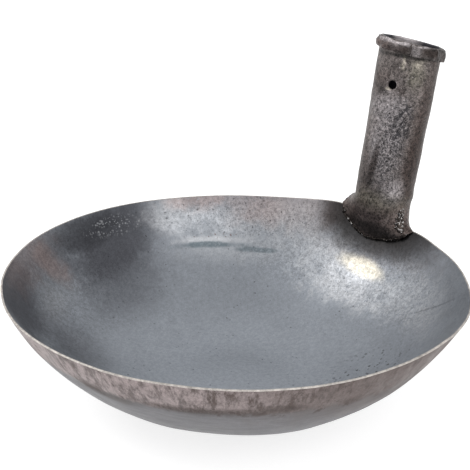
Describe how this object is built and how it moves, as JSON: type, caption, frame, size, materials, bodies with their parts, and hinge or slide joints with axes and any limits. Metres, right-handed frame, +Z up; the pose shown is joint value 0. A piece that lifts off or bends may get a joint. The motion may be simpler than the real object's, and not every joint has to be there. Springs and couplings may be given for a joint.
{
  "type": "socket-handled steel pan",
  "caption": "Shallow round-bottomed steel pan with a tapered hollow socket for a wooden pole, pinched and welded astride the rim.",
  "frame": {"origin": "centre of the underside of the bowl's flat base, which the pan stands on", "axes": "+Z up through the middle of the bowl, +X from the bowl's middle towards the socket"},
  "size_m": [0.3127, 0.27, 0.1891],
  "materials": {
    "bowl_steel": "bare, heat-tinted",
    "socket_steel": "bare, scaled",
    "foot_steel": "scorched",
    "hoop_steel": "battered",
    "weld_metal": "rough"
  },
  "bodies": {
    "root": {"bowl": "bowl_steel", "socket": "socket_steel", "foot": "foot_steel", "mouth_hoop": "hoop_steel", "socket_seam_weld": "weld_metal", "inner_foot_weld": "weld_metal", "outer_foot_weld": "weld_metal", "left_flank_weld": "weld_metal", "right_flank_weld": "weld_metal"}
  },
  "joints": []
}
